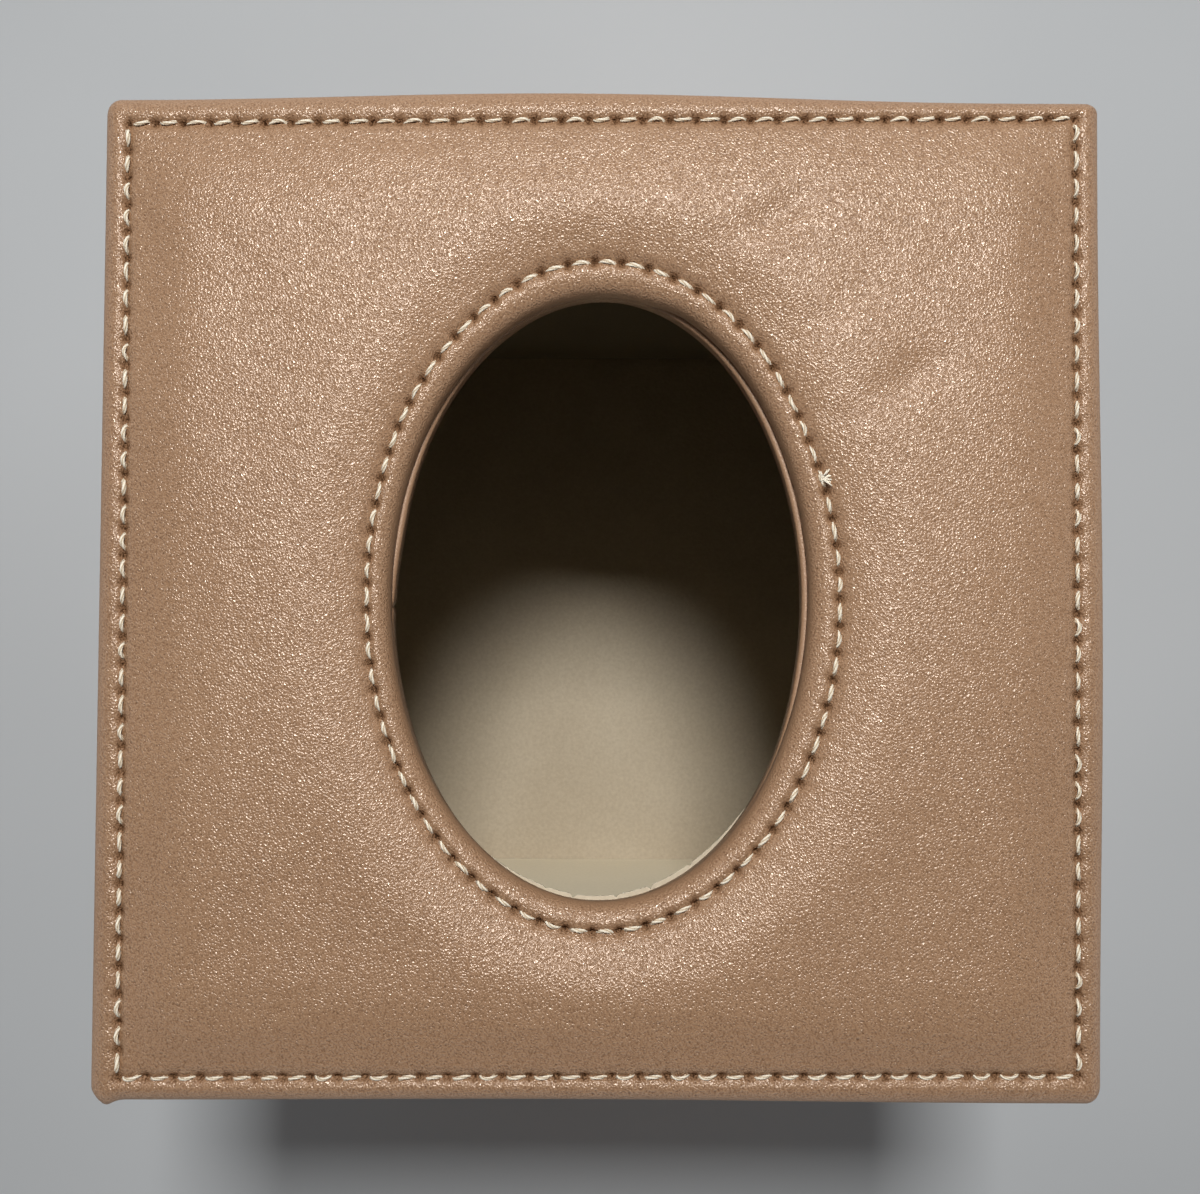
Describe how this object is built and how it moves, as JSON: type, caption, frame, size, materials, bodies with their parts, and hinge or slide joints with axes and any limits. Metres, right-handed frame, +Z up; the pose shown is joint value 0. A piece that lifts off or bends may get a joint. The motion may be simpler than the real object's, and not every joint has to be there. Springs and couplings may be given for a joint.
{
  "type": "tissue box cover",
  "caption": "Square box cover with a padded, stitched leather top, an oval mouth that hands out tissues and a hinged base flap.",
  "frame": {"origin": "middle of the footprint, on the surface that the cover stands on", "axes": "+Z up, +Y to the back, where the base flap is hinged, and along the oval mouth"},
  "size_m": [0.13, 0.13, 0.143],
  "materials": {
    "tan_leather": "tan, fine pebbled grain with a pearly sheen",
    "thread": "cream twisted sewing thread",
    "foam": "off-white open-cell foam",
    "card": "grey-brown pressed card",
    "box_board": "pressed fibre board",
    "lining": "beige napped lining",
    "keeper": "bare steel strip",
    "magnet": "dark sintered bar"
  },
  "bodies": {
    "shell": {"top_leather": "tan_leather", "top_foam": "foam", "top_card": "card", "top_edge_stitches": "thread", "oval_stitches": "thread", "oval_edge_strip": "tan_leather", "box_top": "box_board", "lining_top": "lining", "keeper_strip": "keeper", "hinge_strip": "tan_leather", "leather_front": "tan_leather", "card_front": "card", "stitches_front": "thread", "box_front": "box_board", "lining_front": "lining", "leather_right": "tan_leather", "card_right": "card", "stitches_right": "thread", "box_right": "box_board", "lining_right": "lining", "leather_back": "tan_leather", "card_back": "card", "stitches_back": "thread", "box_back": "box_board", "lining_back": "lining", "leather_left": "tan_leather", "card_left": "card", "stitches_left": "thread", "box_left": "box_board", "lining_left": "lining"},
    "base_flap": {"flap_board": "box_board", "flap_leather": "tan_leather", "flap_lining": "lining", "flap_magnets": "magnet", "pull_tab": "tan_leather"}
  },
  "joints": [
    {"name": "flap_hinge", "type": "hinge", "parent": "shell", "child": "base_flap", "pos_m": [0, 0.06115, 0.00035], "axis": [1, 0, 0], "range_deg": [0, 120], "deforming": ["hinge_strip"]}
  ]
}
